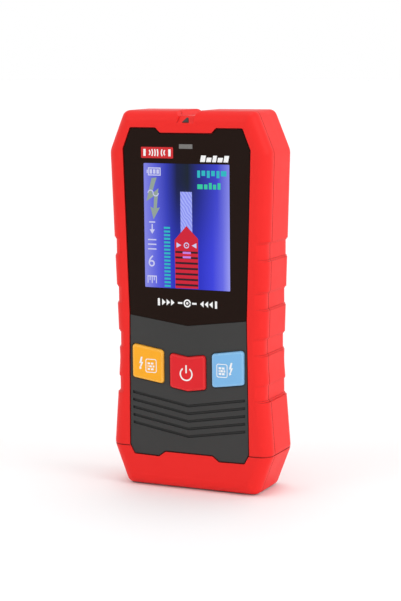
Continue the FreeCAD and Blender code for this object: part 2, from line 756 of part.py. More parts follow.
def battery_door():
    body = new_body("battery_door")
    innerFace = backFace - doorThick
    low, high = bayBottom + doorGap, bayTop - doorGap
    half = doorHalf - doorGap
    add(body, "sheet", [rectangle(-half, half, low, high)], innerFace, backFace)
    necks = [rectangle(14, 19, low, low + 0.95), rectangle(-19, -14, low, low + 0.95)]
    add(body, "necks", necks, 10.2, innerFace)
    tabs = [rectangle(14, 19, 9.1, low), rectangle(-19, -14, 9.1, low)]
    add(body, "tabs", tabs, 10.2, 10.9)
    add(body, "latch_tongue", [rectangle(-5, 5, high - 0.1, bayTop + 0.6)], innerFace, backFace - 0.5)
    grooves = [rectangle(-8, 8, z, z + 0.8) for z in (30, 31.8, 33.6, 35.4)]
    cut(body, "thumb_grooves", grooves, backFace - 0.4, backFace)
    plate("door_foam", [rectangle(-20, 20, 16, 33)], 10.7, innerFace)


# trim

def trim():
    marker = new_body("centre_marker")
    strip = [(-12.6, 142.53), (-10.6, 144.12), (-10.85, 144.43), (-12.85, 142.84)]
    sketch = draw(marker, "side", [strip], 0, role="YZ_Plane")
    pad = marker.newObject("PartDesign::Pad", "strip")
    pad.Profile = sketch
    pad.Midplane = True
    pad.Length = 2.8
    document.recompute()
    sides = [[(0.05, 144.6), (1.5, 142.4), (1.6, 144.6)], [(-0.05, 144.6), (-1.6, 144.6), (-1.5, 142.4)]]
    cut(marker, "triangle", sides, -13, -10)
    strips = [rectangle(-19, 19, 120, 131), rectangle(-19, 19, 44.5, 52)]
    group("glide_pads", strips, backFace, padFace)


front_shell()
rear_shell()
front_panel()
for keyName in ("left", "power", "right"):
    key(keyName)
display()
main_board()
sensor_board()
power()
battery_door()
screw_set("case_screws", caseScrews, (4.6, 1.8), (2.1, -8), screwSeat)
trim()

document.recompute()
for item in document.Objects:
    if "Invalid" in item.State or "Error" in item.State:
        raise RuntimeError("bad object " + item.Label)
for item in subparts:
    if item.Shape.isNull() or not item.Shape.isValid():
        raise RuntimeError("bad shape " + item.Label)
os.makedirs("parts", exist_ok=True)
for item in subparts:
    item.Shape.exportStep("parts/%s.step" % item.Label)
    box = item.Shape.BoundBox
    print("%-26s %2d solid %8.1f mm3  x %6.1f %6.1f  y %6.2f %6.2f  z %6.1f %6.1f" % (
        item.Label, len(item.Shape.Solids), item.Shape.Volume,
        box.XMin, box.XMax, box.YMin, box.YMax, box.ZMin, box.ZMax))
print(len(subparts), "parts")
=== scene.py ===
import math

import bmesh
import bpy
from mathutils import Matrix, Vector


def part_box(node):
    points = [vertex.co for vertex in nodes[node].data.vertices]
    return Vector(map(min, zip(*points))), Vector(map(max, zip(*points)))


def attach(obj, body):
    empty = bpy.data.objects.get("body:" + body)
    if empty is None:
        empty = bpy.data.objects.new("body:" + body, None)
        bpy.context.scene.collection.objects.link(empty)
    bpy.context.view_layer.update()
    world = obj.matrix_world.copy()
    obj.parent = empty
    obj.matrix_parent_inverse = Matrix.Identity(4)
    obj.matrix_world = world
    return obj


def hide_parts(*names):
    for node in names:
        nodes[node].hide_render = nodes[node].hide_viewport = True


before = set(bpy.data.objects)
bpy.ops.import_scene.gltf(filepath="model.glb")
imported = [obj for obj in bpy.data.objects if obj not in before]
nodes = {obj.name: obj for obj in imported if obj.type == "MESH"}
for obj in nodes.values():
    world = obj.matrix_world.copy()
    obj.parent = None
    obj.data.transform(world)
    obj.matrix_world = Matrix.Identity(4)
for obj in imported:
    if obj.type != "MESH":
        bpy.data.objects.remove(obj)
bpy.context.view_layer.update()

mm = 0.001
scene = bpy.context.scene
scene.view_settings.view_transform = "Standard"


# camera, lights and floor: all plain studio

camera = {
    "place": (0.2763, -0.5938, 0.1696),
    "turn": 24.978,
    "lift": 8.389,
    "roll": -0.55,
    "lens": 101.76,
}


def makeCamera():
    turn, lift, roll = (math.radians(camera[name]) for name in ("turn", "lift", "roll"))
    back = Vector((math.sin(turn) * math.cos(lift), -math.cos(turn) * math.cos(lift), math.sin(lift)))
    across = Vector((math.cos(turn), math.sin(turn), 0))
    upright = back.cross(across)
    right = math.cos(roll) * across + math.sin(roll) * upright
    up = math.cos(roll) * upright - math.sin(roll) * across
    data = bpy.data.cameras.new("camera")
    data.lens = camera["lens"]
    data.sensor_width = 36
    data.clip_start = 0.01
    item = bpy.data.objects.new("camera", data)
    scene.collection.objects.link(item)
    placed = Matrix((right, up, back)).transposed().to_4x4()
    placed.translation = Vector(camera["place"])
    item.matrix_world = placed
    scene.camera = item


studio = {
    "overhead": {"from": (0.0, 0.1, 1.0), "spread": 40, "power": 0.85},
    "front": {"from": (-0.45, -0.6, 0.6), "spread": 30, "power": 0.3},
    "side": {"from": (0.9, -0.12, 0.42), "spread": 40, "power": 0.95},
}
sky = {"low": 1.0, "high": 0.55, "lowEnd": 0.3, "highStart": 0.75}


def makeLights():
    for name, lamp in studio.items():
        data = bpy.data.lights.new(name, "SUN")
        data.angle = math.radians(lamp["spread"])
        data.energy = lamp["power"]
        item = bpy.data.objects.new(name, data)
        scene.collection.objects.link(item)
        item.rotation_euler = (-Vector(lamp["from"])).to_track_quat("-Z", "Y").to_euler()
        item.location = lamp["from"]
    world = bpy.data.worlds.new("studio")
    scene.world = world
    world.use_nodes = True
    tree = world.node_tree
    direction = tree.nodes.new("ShaderNodeTexCoord")
    axes = tree.nodes.new("ShaderNodeSeparateXYZ")
    fade = tree.nodes.new("ShaderNodeMapRange")  # white walls, a softer ceiling
    for number, value in enumerate((sky["lowEnd"], sky["highStart"], sky["low"], sky["high"])):
        fade.inputs[number + 1].default_value = value
    tree.links.new(direction.outputs["Generated"], axes.inputs[0])
    tree.links.new(axes.outputs["Z"], fade.inputs[0])
    tree.links.new(fade.outputs[0], tree.nodes["Background"].inputs["Strength"])
    tree.nodes["Background"].inputs["Color"].default_value = (1, 1, 1, 1)


def makeFloor():
    mesh = bpy.data.meshes.new("floor")
    reach = 8
    corners = [(-reach, -reach, 0), (reach, -reach, 0), (reach, reach, 0), (-reach, reach, 0)]
    mesh.from_pydata(corners, [], [(0, 1, 2, 3)])
    floor = bpy.data.objects.new("floor", mesh)
    scene.collection.objects.link(floor)
    paint = bpy.data.materials.new("floorPaint")
    paint.use_nodes = True
    bsdf = paint.node_tree.nodes["Principled BSDF"]
    bsdf.inputs["Base Color"].default_value = (0.96, 0.96, 0.96, 1)
    bsdf.inputs["Roughness"].default_value = 0.7
    mesh.materials.append(paint)


# shader node groups shared by the finishes

def newGroup(name, inputs, outputs):
    tree = bpy.data.node_groups.new(name, "ShaderNodeTree")
    for label, value in inputs.items():
        kind = "NodeSocketColor" if isinstance(value, tuple) else "NodeSocketFloat"
        socket = tree.interface.new_socket(label, in_out="INPUT", socket_type=kind)
        socket.default_value = value
    for label, kind in outputs.items():
        tree.interface.new_socket(label, in_out="OUTPUT", socket_type=kind)
    return tree, tree.nodes.new("NodeGroupInput"), tree.nodes.new("NodeGroupOutput")


def feed(tree, node, values):
    # links sockets and sets plain values
    for name, value in values.items():
        if isinstance(value, bpy.types.NodeSocket):
            tree.links.new(value, node.inputs[name])
        else:
            node.inputs[name].default_value = value


def addNode(tree, kind, values=None, **settings):
    node = tree.nodes.new(kind)
    for name, value in settings.items():
        setattr(node, name, value)
    feed(tree, node, values or {})
    return node


def maths(tree, operation, first, second=0.0, clamp=False):
    values = {0: first, 1: second}
    return addNode(tree, "ShaderNodeMath", values, operation=operation, use_clamp=clamp).outputs[0]


def times(tree, first, second, clamp=False):
    return maths(tree, "MULTIPLY", first, second, clamp)


def vector(tree, **parts):
    return addNode(tree, "ShaderNodeCombineXYZ", parts).outputs[0]


def splitVector(tree, socket):
    return addNode(tree, "ShaderNodeSeparateXYZ", {0: socket}).outputs


def objectSpace(tree):
    return addNode(tree, "ShaderNodeTexCoord").outputs["Object"]


def noise(tree, space, scale, detail, **more):
    values = {"Vector": space, "Scale": scale, "Detail": detail, **more}
    return addNode(tree, "ShaderNodeTexNoise", values).outputs[0]


def moldedGrain():
    # spark-eroded mould texture, with slow drifts of tone from the flow of the plastic
    inputs = {"Grain": 2200.0, "Roughness": 0.4, "Spread": 0.1, "Drift": 0.5}
    outputs = {"Height": "NodeSocketFloat", "Roughness": "NodeSocketFloat", "Tone": "NodeSocketFloat"}
    tree, given, out = newGroup("moldedGrain", inputs, outputs)
    space = objectSpace(tree)
    fine = noise(tree, space, given.outputs["Grain"], 2.0)
    slow = noise(tree, space, 22.0, 1.0)
    smear = noise(tree, space, 160.0, 3.0)
    centred = maths(tree, "SUBTRACT", smear, 0.5)
    rough = maths(tree, "MULTIPLY_ADD", centred, given.outputs["Spread"])
    tree.links.new(given.outputs["Roughness"], rough.node.inputs[2])
    mixed = times(tree, slow, given.outputs["Drift"])
    tone = maths(tree, "ADD", mixed, times(tree, fine, 0.25), True)
    feed(tree, out, {"Height": fine, "Roughness": rough, "Tone": tone})
    return tree


def paintedEdgeHighlight():
    # a mask that is bright where two faces meet, used as a painted highlight along the edges, and a normal
    # that rounds them a little
    outputs = {"Mask": "NodeSocketFloat", "Normal": "NodeSocketVector"}
    tree, given, out = newGroup("paintedEdgeHighlight", {"Width": 0.3 * mm, "Gain": 3.0}, outputs)
    bevel = addNode(tree, "ShaderNodeBevel", {"Radius": given.outputs["Width"]}, samples=6)
    flat = addNode(tree, "ShaderNodeNewGeometry").outputs["Normal"]
    match = addNode(tree, "ShaderNodeVectorMath", {0: bevel.outputs[0], 1: flat}, operation="DOT_PRODUCT")
    turned = maths(tree, "SUBTRACT", 1.0, match.outputs["Value"])
    mask = times(tree, turned, given.outputs["Gain"], True)
    feed(tree, out, {"Mask": mask, "Normal": bevel.outputs[0]})
    return tree


def paintedGapShade():
    # a mask that grows in narrow gaps and at the foot of steps, where little light gets in, for painted
    # shade
    inputs = {"Reach": 0.8 * mm, "Start": 0.75, "Gain": 1.6}
    tree, given, out = newGroup("paintedGapShade", inputs, {"Mask": "NodeSocketFloat"})
    openness = addNode(tree, "ShaderNodeAmbientOcclusion", {"Distance": given.outputs["Reach"]}, samples=8)
    closed = maths(tree, "SUBTRACT", given.outputs["Start"], openness.outputs["AO"])
    feed(tree, out, {"Mask": times(tree, closed, given.outputs["Gain"], True)})
    return tree


def fineDust():
    # a trace of pale dust that settles on upward faces in soft patches
    tree, given, out = newGroup("fineDust", {"Amount": 0.1}, {"Mask": "NodeSocketFloat"})
    patch = noise(tree, objectSpace(tree), 90.0, 4.0)
    normal = addNode(tree, "ShaderNodeNewGeometry").outputs["Normal"]
    facing = maths(tree, "MAXIMUM", splitVector(tree, normal)["Z"], 0.0)
    soft = times(tree, facing, patch)
    feed(tree, out, {"Mask": times(tree, soft, given.outputs["Amount"], True)})
    return tree


def drawnLines():
    # the fine lines left in sheet and drawn metal by its rolls and dies
    outputs = {"Height": "NodeSocketFloat", "Roughness": "NodeSocketFloat"}
    tree, given, out = newGroup("drawnLines", {"Fineness": 900.0, "Roughness": 0.3}, outputs)
    stretch = {"Vector": objectSpace(tree), "Scale": (0.05, 1.0, 1.0)}
    stretched = addNode(tree, "ShaderNodeMapping", stretch).outputs[0]
    lines = noise(tree, stretched, given.outputs["Fineness"], 3.0)
    change = times(tree, maths(tree, "SUBTRACT", lines, 0.5), 0.25)
    rough = maths(tree, "ADD", change, given.outputs["Roughness"], True)
    feed(tree, out, {"Height": lines, "Roughness": rough})
    return tree


def displayCells():
    # the colour display's rows and columns of cells: a mask a little darker between them
    inputs = {"Pitch": 0.153 * mm, "Depth": 0.18}
    tree, given, out = newGroup("displayCells", inputs, {"Mask": "NodeSocketFloat"})
    axes = splitVector(tree, objectSpace(tree))
    bands = []
    for axis in ("X", "Z"):
        steps = maths(tree, "DIVIDE", axes[axis], given.outputs["Pitch"])
        wave = maths(tree, "SINE", times(tree, steps, 2 * math.pi))
        bands.append(maths(tree, "GREATER_THAN", wave, 0.7))
    gap = maths(tree, "MAXIMUM", bands[0], bands[1])
    darker = times(tree, gap, given.outputs["Depth"])
    feed(tree, out, {"Mask": maths(tree, "SUBTRACT", 1.0, darker)})
    return tree


makers = {"grain": moldedGrain, "edge": paintedEdgeHighlight, "gap": paintedGapShade, "dust": fineDust, "lines": drawnLines,
          "cells": displayCells}
groups = {name: make() for name, make in makers.items()}


def useGroup(tree, name, values=None):
    return addNode(tree, "ShaderNodeGroup", values, node_tree=groups[name])


# finishes

def blankFinish(name):
    finish = bpy.data.materials.new(name)
    finish.use_nodes = True
    return finish, finish.node_tree, finish.node_tree.nodes["Principled BSDF"]


def blend(tree, mask, low, high):
    node = addNode(tree, "ShaderNodeMix", data_type="RGBA")
    colours = {6: low, 7: high}
    for number, value in colours.items():
        if isinstance(value, tuple):
            colours[number] = value + (1.0,)
    feed(tree, node, {0: mask, **colours})
    return node.outputs[2]


def addBump(tree, height, strength, depth):
    return addNode(tree, "ShaderNodeBump", {"Height": height, "Strength": strength, "Distance": depth * mm})


dustColour = (0.6, 0.57, 0.55)


def plastic(name, dark, light, rough, grain=2200.0, spread=0.1, depth=0.02, edge=None, dust=0.0, coat=0.0,
            specular=0.2, gap=None):
    # moulded plastic: two close tones, fine grain, a painted highlight along the edges, painted shade in
    # gaps and a trace of dust
    finish, tree, shader = blankFinish(name)
    texture = useGroup(tree, "grain", {"Grain": grain, "Roughness": rough, "Spread": spread, "Drift": 0.75})
    colour = blend(tree, texture.outputs["Tone"], dark, light)
    bump = addBump(tree, texture.outputs["Height"], 0.35, depth)
    # the edge mask paints a highlight along the edges in a paler colour; the bevel normal is real shading
    if edge:
        rim = useGroup(tree, "edge", {"Width": edge["width"] * mm, "Gain": edge["gain"]})
        colour = blend(tree, rim.outputs["Mask"], colour, edge["colour"])
        tree.links.new(rim.outputs["Normal"], bump.inputs["Normal"])
    # the gap mask paints shade into gaps and at the foot of steps with a dark colour
    if gap:
        reach = gap["reach"] * mm
        shade = useGroup(tree, "gap", {"Reach": reach, "Start": gap["start"], "Gain": gap["gain"]})
        colour = blend(tree, shade.outputs["Mask"], colour, gap["colour"])
    if dust:
        settled = useGroup(tree, "dust", {"Amount": dust})
        colour = blend(tree, settled.outputs["Mask"], colour, dustColour)
    feed(tree, shader, {"Base Color": colour, "Roughness": texture.outputs["Roughness"],
                        "Normal": bump.outputs[0], "Coat Weight": coat, "Coat Roughness": 0.12,
                        "Specular IOR Level": specular})
    return finish


def metal(name, colour, rough, fineness=900.0):
    # drawn or rolled metal, a little darker in its lines
    finish, tree, shader = blankFinish(name)
    lines = useGroup(tree, "lines", {"Fineness": fineness, "Roughness": rough})
    darker = tuple(0.8 * part for part in colour)
    bump = addBump(tree, lines.outputs["Height"], 0.25, 0.01)
    feed(tree, shader, {"Base Color": blend(tree, lines.outputs["Height"], darker, colour), "Metallic": 1.0,
                        "Roughness": lines.outputs["Roughness"], "Normal": bump.outputs[0]})
    return finish


def glow(tree, shader, colour, base):
    # light given off by the display, under a faint gloss
    feed(tree, shader, {"Emission Color": colour, "Emission Strength": 1.0, "Base Color": base + (1.0,),
                        "Roughness": 0.25, "Specular IOR Level": 0.08})


def lit(name, colour):
    # a coloured patch of the display, seen through its cells
    finish, tree, shader = blankFinish(name)
    cells = useGroup(tree, "cells")
    shown = blend(tree, cells.outputs["Mask"], (0.0, 0.0, 0.0), colour)
    glow(tree, shader, shown, (0.01, 0.01, 0.012))
    return finish


# the display's blue field, from left to right: a place from 0 to 1 and the colour there
fields = {
    "high": ((0.0, (0.24, 0.25, 0.82)), (0.13, (0.11, 0.125, 0.72)), (0.27, (0.03, 0.042, 0.46)),
             (0.39, (0.005, 0.010, 0.06)), (0.52, (0.006, 0.013, 0.022)), (0.66, (0.014, 0.022, 0.26)),
             (0.86, (0.045, 0.055, 0.62)), (1.0, (0.24, 0.25, 0.84))),
    "low": ((0.0, (0.26, 0.27, 0.82)), (0.16, (0.10, 0.115, 0.76)), (0.34, (0.022, 0.035, 0.56)),
            (0.5, (0.018, 0.028, 0.48)), (0.64, (0.022, 0.03, 0.58)), (0.80, (0.045, 0.055, 0.76)),
            (0.92, (0.14, 0.15, 0.84)), (1.0, (0.34, 0.35, 0.94))),
}


def colourRamp(tree, across, stops):
    ramp = addNode(tree, "ShaderNodeValToRGB", {0: across})
    spots = ramp.color_ramp.elements
    while len(spots) < len(stops):
        spots.new(0.5)
    for spot, (position, colour) in zip(spots, stops):
        spot.position = position
        spot.color = colour + (1.0,)
    return ramp.outputs[0]


def displayGlow():
    # the display's blue field: a dark column high in the middle, paler towards the sides and the foot
    finish, tree, shader = blankFinish("displayGlow")
    axes = splitVector(tree, objectSpace(tree))
    across = addNode(tree, "ShaderNodeMapRange", {0: axes["X"], 1: -17.95 * mm, 2: 17.95 * mm}).outputs[0]
    heights = {0: axes["Z"], 1: 84 * mm, 2: 122 * mm}
    rise = addNode(tree, "ShaderNodeMapRange", heights, interpolation_type="SMOOTHSTEP").outputs[0]
    high = colourRamp(tree, across, fields["high"])
    field = blend(tree, rise, colourRamp(tree, across, fields["low"]), high)
    cells = useGroup(tree, "cells")
    glow(tree, shader, blend(tree, cells.outputs["Mask"], (0.0, 0.0, 0.02), field), (0.005, 0.005, 0.008))
    return finish


def steelBar():
    # the picture of a ribbed bar on the display: pale blue with slanting ribs
    finish, tree, shader = blankFinish("steelBar")
    lean = {"Vector": objectSpace(tree), "Rotation": (0.0, math.radians(35), 0.0)}
    slanted = addNode(tree, "ShaderNodeMapping", lean).outputs[0]
    waves = {"Vector": slanted, "Scale": 290.0, "Distortion": 4.0, "Detail": 2.0}
    ribs = addNode(tree, "ShaderNodeTexWave", waves, bands_direction="X").outputs["Fac"]
    glow(tree, shader, blend(tree, ribs, (0.24, 0.27, 0.86), (0.40, 0.45, 0.96)), (0.005, 0.005, 0.006))
    return finish


def felt(name, dark, light):
    finish, tree, shader = blankFinish(name)
    fibres = noise(tree, objectSpace(tree), 2500.0, 6.0, Distortion=1.2)
    bump = addBump(tree, fibres, 0.8, 0.15)
    feed(tree, shader, {"Base Color": blend(tree, fibres, dark, light), "Normal": bump.outputs[0],
                        "Roughness": 0.95, "Sheen Weight": 0.4})
    return finish


def circuit(name, mask, track):
    # solder mask over copper tracks, which show as paler lines
    finish, tree, shader = blankFinish(name)
    layout = {"Vector": objectSpace(tree), "Scale": 230.0}
    cells = addNode(tree, "ShaderNodeTexVoronoi", layout, feature="DISTANCE_TO_EDGE").outputs[0]
    tracks = addNode(tree, "ShaderNodeMapRange", {0: cells, 1: 0.03, 2: 0.06, 3: 1.0, 4: 0.0}).outputs[0]
    bump = addBump(tree, tracks, 0.4, 0.03)
    feed(tree, shader, {"Base Color": blend(tree, tracks, mask, track), "Normal": bump.outputs[0],
                        "Roughness": 0.35, "Coat Weight": 0.3})
    return finish


def batteryWrap():
    # a plain printed battery case: dark body with one bright band round the terminal end
    finish, tree, shader = blankFinish("batteryWrap")
    along = splitVector(tree, objectSpace(tree))["X"]
    band = maths(tree, "GREATER_THAN", along, 6 * mm)
    texture = useGroup(tree, "grain", {"Grain": 900.0, "Roughness": 0.3, "Spread": 0.12})
    shade = blend(tree, texture.outputs["Tone"], (0.018, 0.02, 0.024), (0.03, 0.033, 0.038))
    feed(tree, shader, {"Base Color": blend(tree, band, shade, (0.75, 0.5, 0.12)), "Metallic": 0.6,
                        "Roughness": texture.outputs["Roughness"]})
    return finish


# dark colours for painted shade in gaps, grooves and at the foot of steps
redPaintedShade = {"reach": 0.7, "start": 0.72, "gain": 2.2, "colour": (0.22, 0.010, 0.010)}
darkPaintedShade = {"reach": 1.0, "start": 0.93, "gain": 2.6, "colour": (0.015, 0.015, 0.015)}
# each edge colour below is a painted highlight laid along the edges
plastics = {
    "redShell": {"dark": (0.76, 0.019, 0.016), "light": (0.85, 0.024, 0.021), "rough": 0.42, "spread": 0.12,
                 "specular": 0.12, "gap": redPaintedShade, "dust": 0.01,
                 "edge": {"width": 0.4, "gain": 1.0, "colour": (0.92, 0.07, 0.062)}},
    "blackPrint": {"dark": (0.014, 0.0072, 0.0052), "light": (0.018, 0.0096, 0.0074), "rough": 0.3,
                   "grain": 500.0, "specular": 0.03},
    "greyPanel": {"dark": (0.039, 0.039, 0.038), "light": (0.053, 0.052, 0.051), "rough": 0.6,
                  "grain": 3200.0, "depth": 0.03, "specular": 0.15, "gap": darkPaintedShade, "dust": 0.03,
                  "edge": {"width": 0.25, "gain": 1.0, "colour": (0.10, 0.10, 0.10)}},
    "orangeKey": {"dark": (0.88, 0.37, 0.012), "light": (0.96, 0.43, 0.02), "rough": 0.38,
                  "edge": {"width": 1.2, "gain": 9.0, "colour": (1.0, 0.66, 0.20)}},
    "redKey": {"dark": (0.66, 0.010, 0.016), "light": (0.76, 0.015, 0.022), "rough": 0.38,
               "edge": {"width": 1.2, "gain": 7.0, "colour": (0.92, 0.09, 0.075)}},
    "blueKey": {"dark": (0.17, 0.42, 0.72), "light": (0.22, 0.49, 0.80), "rough": 0.38,
                "edge": {"width": 1.2, "gain": 9.0, "colour": (0.42, 0.72, 0.95)}},
    "whitePrint": {"dark": (0.80, 0.80, 0.80), "light": (0.92, 0.92, 0.92), "rough": 0.45, "grain": 1500.0},
    "redPrint": {"dark": (0.54, 0.014, 0.018), "light": (0.64, 0.022, 0.027), "rough": 0.4,
                 "grain": 1500.0},
    "frosted": {"dark": (0.14, 0.135, 0.13), "light": (0.21, 0.20, 0.19), "rough": 0.5, "grain": 1800.0,
                "depth": 0.04},
    "marker": {"dark": (0.030, 0.026, 0.024), "light": (0.055, 0.05, 0.046), "rough": 0.5},
    "blackPlastic": {"dark": (0.012, 0.012, 0.013), "light": (0.026, 0.026, 0.028), "rough": 0.45,
                     "grain": 1500.0},
    "ivoryPlastic": {"dark": (0.62, 0.57, 0.44), "light": (0.74, 0.69, 0.56), "rough": 0.45},
    "whitePlastic": {"dark": (0.78, 0.78, 0.77), "light": (0.88, 0.88, 0.87), "rough": 0.4},
    "redRubber": {"dark": (0.50, 0.012, 0.012), "light": (0.62, 0.02, 0.018), "rough": 0.5},
    "blackRubber": {"dark": (0.010, 0.010, 0.010), "light": (0.022, 0.022, 0.022), "rough": 0.7,
                    "grain": 1200.0, "depth": 0.05},
    "flexFilm": {"dark": (0.42, 0.13, 0.02), "light": (0.55, 0.2, 0.035), "rough": 0.3, "grain": 400.0,
                 "coat": 0.4},
    "ferrite": {"dark": (0.018, 0.018, 0.02), "light": (0.045, 0.045, 0.05), "rough": 0.6, "grain": 700.0,
                "depth": 0.06},
}
metals = {
    "steel": {"colour": (0.62, 0.62, 0.63), "rough": 0.3},
    "tin": {"colour": (0.72, 0.71, 0.69), "rough": 0.38, "fineness": 1400.0},
    "copper": {"colour": (0.80, 0.34, 0.19), "rough": 0.3, "fineness": 1600.0},
    "gold": {"colour": (0.85, 0.6, 0.2), "rough": 0.25},
    "blackSteel": {"colour": (0.10, 0.10, 0.105), "rough": 0.4},
}
litColours = {
    "litWhite": (0.62, 0.63, 0.92),
    "litPale": (0.30, 0.38, 0.33),
    "litTeal": (0.02, 0.50, 0.56),
    "litGreen": (0.03, 0.62, 0.36),
    "litRed": (0.66, 0.008, 0.03),
    "litDark": (0.03, 0.001, 0.009),
    "litViolet": (0.62, 0.22, 0.80),
}
finishes = {
    "greenBoard": circuit("greenBoard", (0.006, 0.085, 0.03), (0.02, 0.16, 0.06)),
    "felt": felt("felt", (0.012, 0.012, 0.014), (0.06, 0.06, 0.066)),
    "batteryWrap": batteryWrap(),
    "displayGlow": displayGlow(),
    "steelBar": steelBar(),
}
finishes.update({name: plastic(name, **look) for name, look in plastics.items()})
finishes.update({name: metal(name, **look) for name, look in metals.items()})
finishes.update({name: lit(name, colour) for name, colour in litColours.items()})
print("finishes", len(finishes))

carried = {
    "redShell": ("front_shell", "rear_shell", "battery_door"),
    "blackPrint": ("lens_mask",),
    "greyPanel": ("control_panel",),
    "frosted": ("status_light_pipe",),
    "marker": ("centre_marker",),
    "blackPlastic": ("left_plunger", "power_plunger", "right_plunger", "switch_bases", "processor_chip",
                     "amplifier_chips", "voltage_regulator", "buzzer", "link_socket", "link_header",
                     "coil_bobbin"),
    "blackRubber": ("lens_tape", "door_foam", "snap_connector", "black_lead"),
    "redRubber": ("red_lead",),
    "whitePlastic": ("lcd_backlight", "indicator_led"),
    "steel": ("lcd_frame", "clock_crystal", "electrolytic_capacitors"),
    "flexFilm": ("display_ribbon",),
    "ivoryPlastic": ("ribbon_socket",),
    "greenBoard": ("main_board", "sensor_board"),
    "tin": ("switch_housings", "processor_legs", "regulator_legs", "battery_terminals"),
    "copper": ("sensing_plates",),
    "gold": ("link_pins",),
    "ferrite": ("ferrite_core",),
    "felt": ("glide_pads",),
    "batteryWrap": ("battery",),
}


def dressCarriedNodes():
    for finish, names in carried.items():
        for name in names:
            mesh = nodes[name].data
            mesh.materials.clear()
            mesh.materials.append(finishes[finish])


# mesh helpers

def place(name, mesh, body, slot, *looks):
    item = bpy.data.objects.new(name, mesh)
    scene.collection.objects.link(item)
    for look in looks:
        mesh.materials.append(finishes[look])
    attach(item, body)
    return item


def slab(shape, outlines, front, back):
    # closed plates from outlines given in mm in the front view, added to a bmesh
    for outline in outlines:
        near = [shape.verts.new((x * mm, front * mm, z * mm)) for x, z in outline]
        far = [shape.verts.new((x * mm, back * mm, z * mm)) for x, z in outline]
        shape.faces.new(near)
        shape.faces.new(list(reversed(far)))
        for number in range(len(outline)):
            shape.faces.new((near[number], near[number - 1], far[number - 1], far[number]))


def finished(shape, name):
    bmesh.ops.recalc_face_normals(shape, faces=shape.faces)
    mesh = bpy.data.meshes.new(name)
    shape.to_mesh(mesh)
    shape.free()
    return mesh


def bar(x0, x1, z0, z1):
    return [(x0, z0), (x1, z0), (x1, z1), (x0, z1)]


def roundBar(x0, x1, z0, z1, radius):
    points = []
    steps = 6
    for cx, cz, start in ((x1 - radius, z0 + radius, -90), (x1 - radius, z1 - radius, 0),
                          (x0 + radius, z1 - radius, 90), (x0 + radius, z0 + radius, 180)):
        for step in range(steps + 1):
            angle = math.radians(start + 90 * step / steps)
            points.append((cx + radius * math.cos(angle), cz + radius * math.sin(angle)))
    return points


def arcBand(x, z, inner, outer, start, end, steps=28):
    # an open ring as one outline, angles in degrees anticlockwise from +X
    angles = [math.radians(start + (end - start) * step / steps) for step in range(steps + 1)]
    outside = [(x + outer * math.cos(a), z + outer * math.sin(a)) for a in angles]
    inside = [(x + inner * math.cos(a), z + inner * math.sin(a)) for a in reversed(angles)]
    return outside + inside


def frameOutlines(x0, x1, z0, z1, wide):
    low, high = z0 + wide, z1 - wide
    return [bar(x0, x1, high, z1), bar(x0, x1, z0, low), bar(x0, x0 + wide, low, high),
            bar(x1 - wide, x1, low, high)]


makeCamera()
makeLights()
makeFloor()
dressCarriedNodes()
print("stage and carried nodes done")


# the dark front lens, with its window, lamp opening and printing

lens = {
    "outline": [(24.53, 68.07), (26.43, 132.44), (23.29, 140.26), (12.84, 140.26), (10.9, 138.32),
                (-10.9, 138.32),
                (-12.84, 140.26), (-23.29, 140.26), (-26.43, 132.44), (-24.53, 68.07), (0, 64.92)],
    "printFront": -12.72,
    "printBack": -12.68,
    "window": (-17.95, 17.95, 79.15, 127.0),
    "lamp": (-2.8, 2.8, 132.7, 134.4),
    "front": -12.7,
    "back": -11.7,
    "corner": 0.6,
    "bevel": 0.18,
}


def roundedOutline(points, radius):
    # each corner replaced by a short arc
    steps = 5
    result = []
    count = len(points)
    for number, point in enumerate(points):
        here = Vector(point)
        toBefore = (Vector(points[number - 1]) - here).normalized()
        toAfter = (Vector(points[(number + 1) % count]) - here).normalized()
        half = toBefore.angle(toAfter) / 2
        reach = radius / math.tan(half)
        centre = here + (toBefore + toAfter).normalized() * radius / math.sin(half)
        first = here + toBefore * reach - centre
        last = here + toAfter * reach - centre
        sweep = first.angle_signed(last)
        for step in range(steps + 1):
            turned = Matrix.Rotation(-sweep * step / steps, 2) @ first
            result.append(tuple(centre + turned))
    return result


def platePierced(outline, holes, front, back, bevel):
    # a plate with openings, its front edges broken by a narrow bevel
    shape = bmesh.new()
    edges = []
    for loop in [outline] + holes:
        corners = [shape.verts.new((x * mm, back * mm, z * mm)) for x, z in loop]
        edges += [shape.edges.new((corners[number - 1], corners[number])) for number in range(len(corners))]
    bmesh.ops.triangle_fill(shape, use_beauty=True, use_dissolve=False, edges=edges)
    pushed = bmesh.ops.extrude_face_region(shape, geom=list(shape.faces))["geom"]
    for vert in (item for item in pushed if isinstance(item, bmesh.types.BMVert)):
        vert.co.y = front * mm
    bmesh.ops.recalc_face_normals(shape, faces=shape.faces)
    rim = [edge for edge in shape.edges if all(abs(vert.co.y - front * mm) < 1e-7 for vert in edge.verts)
           and edge.calc_face_angle(0) > 1.0]
    bmesh.ops.bevel(shape, geom=rim, offset=bevel * mm, segments=2, affect="EDGES", profile=0.5)
    return shape


def makeLens():
    outline = roundedOutline(lens["outline"], lens["corner"])
    holes = [roundBar(*lens["window"], 0.35), roundBar(*lens["lamp"], 0.2)]
    shape = platePierced(outline, holes, lens["front"], lens["back"], lens["bevel"])
    piece = place("lensPanel", finished(shape, "lensPanel"), "case", "clear_lens", "blackPrint")
    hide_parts("display_lens")


badge = {
    "area": (-18.9, -5.3, 128.95, 133.2),
    "corner": 0.35,
    "signFront": -12.74,
    "signBack": -12.70,
    "sent": (1.0, 2.1, 3.2, 4.3),
    "returned": (1.0, 2.1),
    "fromEnd": 2.6,
    "waveWidth": 0.5,
    "waveHeight": 1.4,
}


